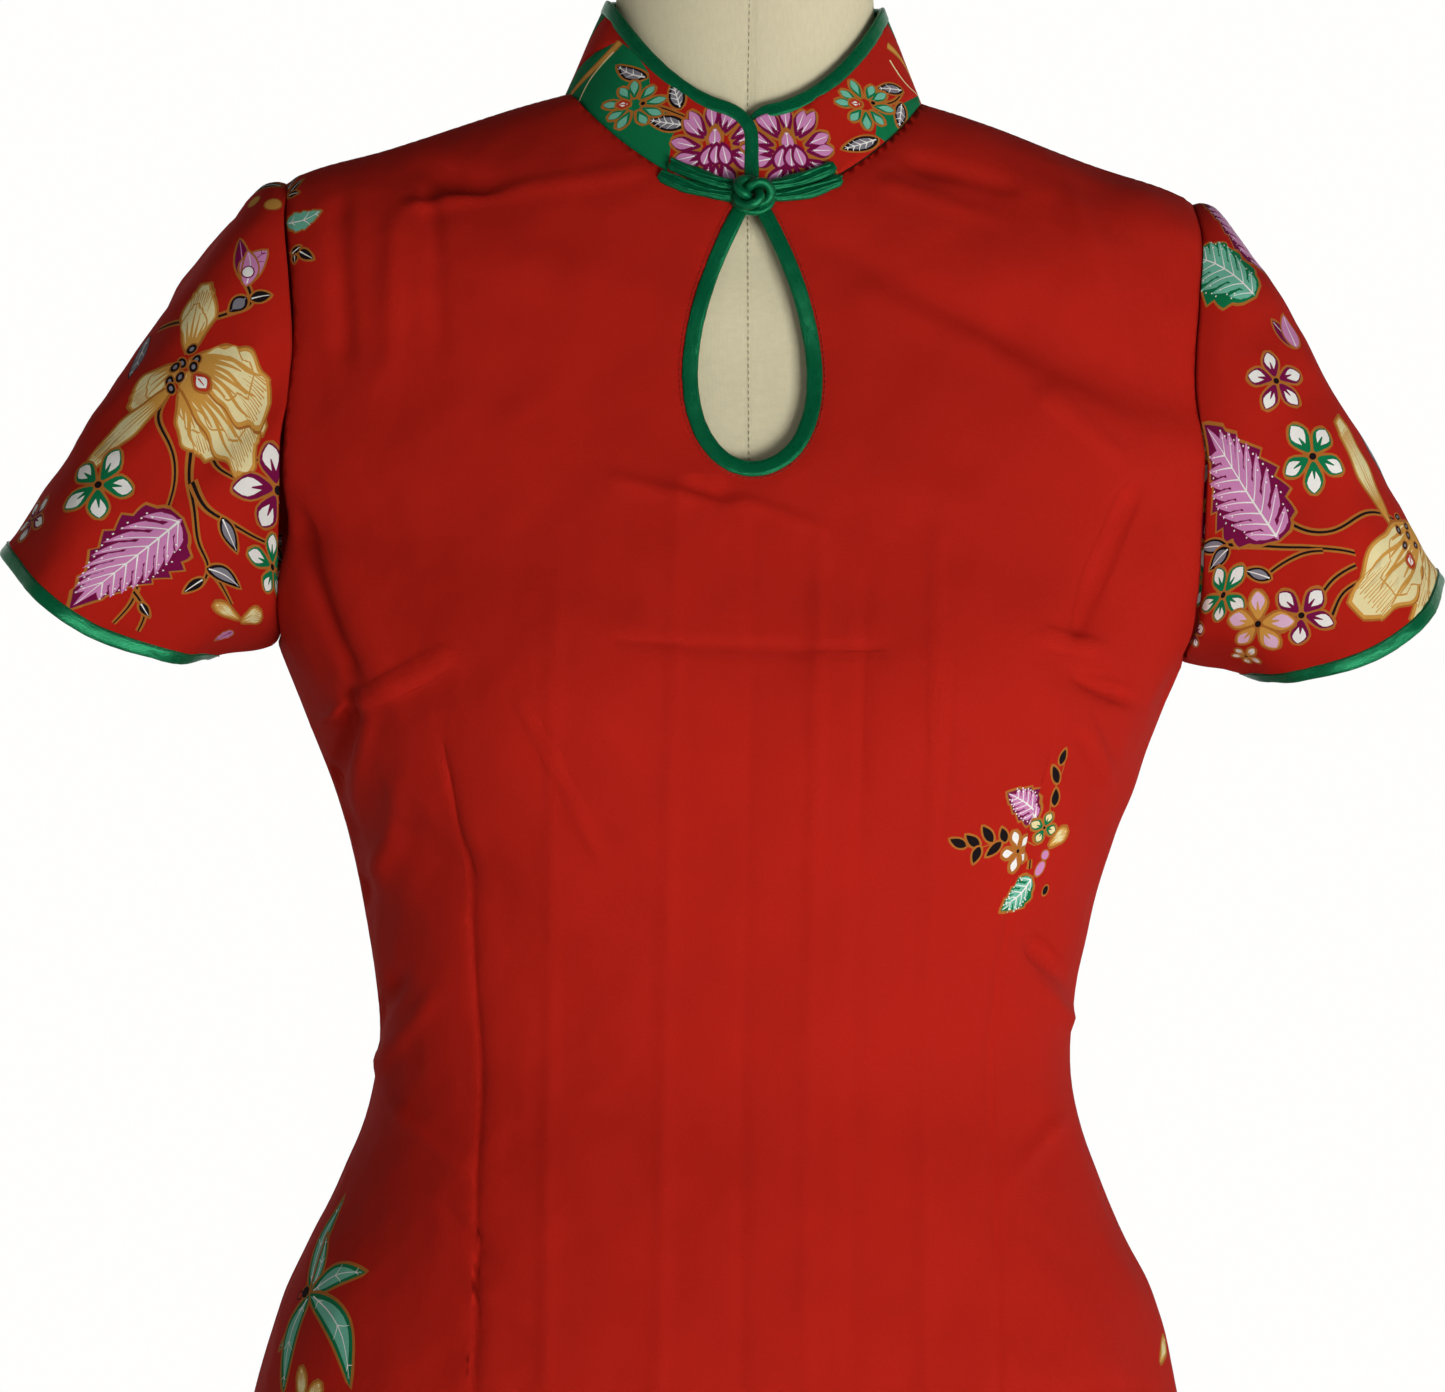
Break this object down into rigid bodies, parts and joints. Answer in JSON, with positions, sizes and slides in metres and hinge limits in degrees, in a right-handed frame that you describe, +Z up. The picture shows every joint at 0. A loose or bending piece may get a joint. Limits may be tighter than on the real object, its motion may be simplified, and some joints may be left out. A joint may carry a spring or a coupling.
{
  "type": "cheongsam dress on a limbless dress form",
  "caption": "Knee-length red mandarin-collar dress with short printed sleeves, green bindings, a teardrop keyhole and a frog closing, on a limbless form with a round stand.",
  "frame": {"origin": "centre of the stand's round base on the floor", "axes": "+Z up, the front of the dress faces -Y, the wearer's left side is +X"},
  "size_m": [0.6162, 0.41, 1.542],
  "materials": {
    "red_cotton": "matt plain-weave cotton, pressed",
    "printed_cotton": "matt plain-weave cotton with a flower print",
    "collar_print": "matt plain-weave cotton with a flower print on green and red",
    "green_satin": "satin bias binding and cord",
    "form_linen": "tightly stretched linen",
    "cap_wood": "turned and varnished",
    "stand_steel": "drawn tube",
    "base_paint": "black enamel"
  },
  "bodies": {
    "root": {"front_panel": "red_cotton", "back_panel": "red_cotton", "sleeve_left": "printed_cotton", "sleeve_right": "printed_cotton", "sleeve_binding_left": "green_satin", "sleeve_binding_right": "green_satin", "collar": "collar_print", "collar_binding": "green_satin", "keyhole_binding": "green_satin", "frog_loop": "green_satin", "frog_tail": "green_satin", "frog_knot": "green_satin", "form_body": "form_linen", "neck_cap": "cap_wood", "pole": "stand_steel", "flange": "base_paint", "base": "base_paint"}
  },
  "joints": []
}
